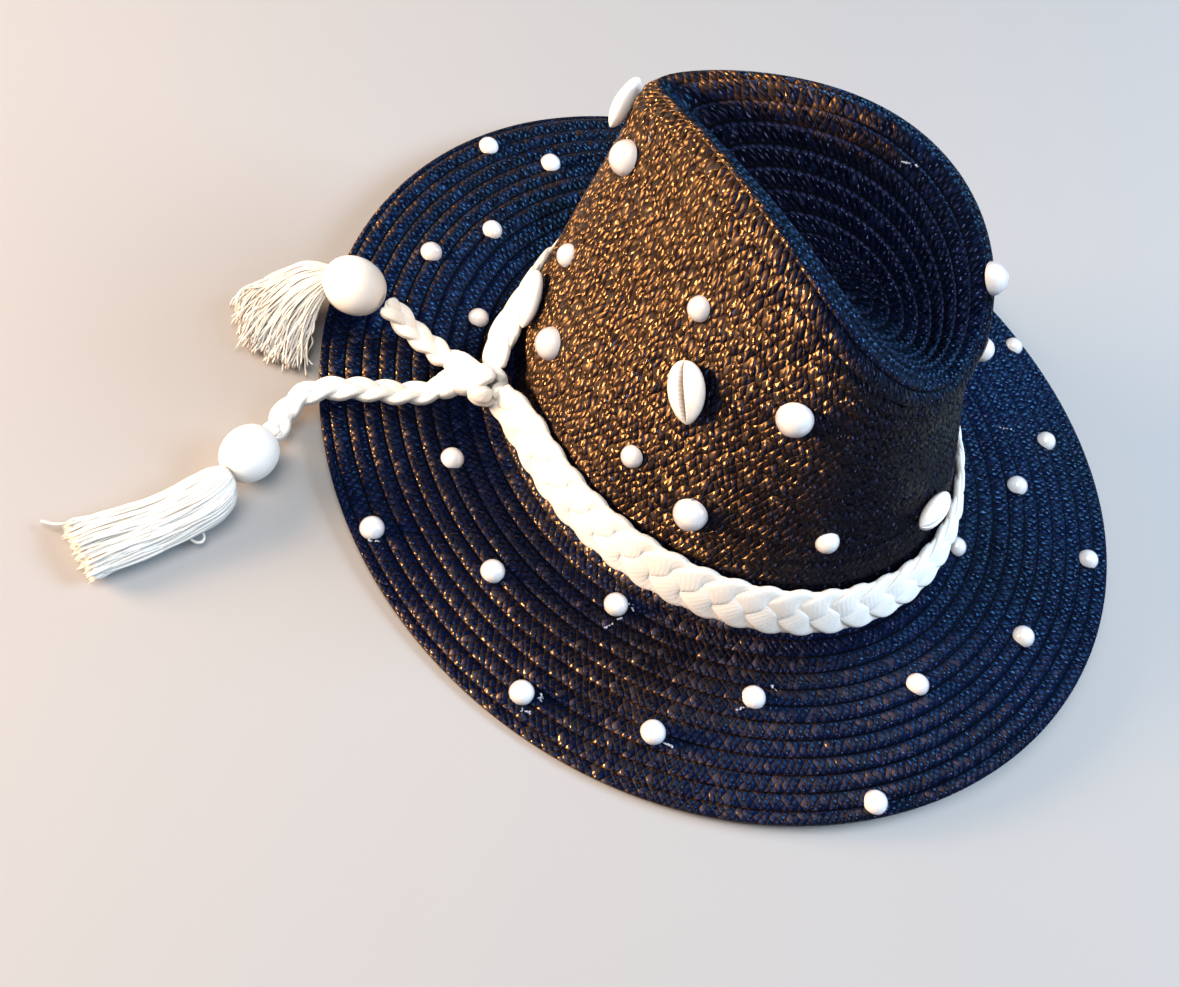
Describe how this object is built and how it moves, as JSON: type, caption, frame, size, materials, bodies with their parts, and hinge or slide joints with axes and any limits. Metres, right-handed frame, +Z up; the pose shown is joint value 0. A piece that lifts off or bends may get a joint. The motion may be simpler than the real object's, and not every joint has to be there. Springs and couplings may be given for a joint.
{
  "type": "beach hat",
  "caption": "Wide-brimmed straw beach hat with a teardrop crown, a plaited cotton band with tasselled ends, cowrie shells and half pearls.",
  "frame": {"origin": "under the middle of the hat, in the plane of the brim's lowest points", "axes": "+Z up through the crown, -Y toward the pinched front of the crown, +X toward the wearer's left"},
  "size_m": [0.3809, 0.3575, 0.1459],
  "materials": {
    "straw": "glossy sewn paper straw, dark navy",
    "cotton": "matt plaited cotton yarn, off-white",
    "bead": "painted off-white, satin",
    "shell": "polished cowrie shell",
    "pearl": "pearly coat, glossy"
  },
  "bodies": {
    "root": {"straw_body": "straw", "band": "cotton", "knot": "cotton", "tail_upper": "cotton", "tail_lower": "cotton", "bead_upper": "bead", "bead_lower": "bead", "tassel_upper": "cotton", "tassel_lower": "cotton", "shell_side": "shell", "shell_front_low": "shell", "shell_front_top": "shell", "shell_back": "shell", "pearl_large_1": "pearl", "pearl_large_2": "pearl", "pearl_large_3": "pearl", "pearl_large_4": "pearl", "pearl_large_5": "pearl", "pearl_large_6": "pearl", "pearl_small_1": "pearl", "pearl_small_2": "pearl", "pearl_small_3": "pearl", "pearl_small_4": "pearl", "pearl_small_5": "pearl", "pearl_small_6": "pearl", "pearl_small_7": "pearl", "pearl_brim_1": "pearl", "pearl_brim_2": "pearl", "pearl_brim_3": "pearl", "pearl_brim_4": "pearl", "pearl_brim_5": "pearl", "pearl_brim_6": "pearl", "pearl_brim_7": "pearl", "pearl_brim_8": "pearl", "pearl_brim_9": "pearl", "pearl_brim_10": "pearl", "pearl_brim_11": "pearl", "pearl_brim_12": "pearl", "pearl_brim_13": "pearl", "pearl_brim_14": "pearl", "pearl_brim_15": "pearl", "pearl_brim_16": "pearl", "pearl_brim_17": "pearl", "pearl_brim_18": "pearl", "pearl_brim_19": "pearl", "pearl_brim_20": "pearl", "pearl_brim_21": "pearl", "pearl_brim_22": "pearl", "pearl_brim_23": "pearl", "pearl_brim_24": "pearl"}
  },
  "joints": []
}
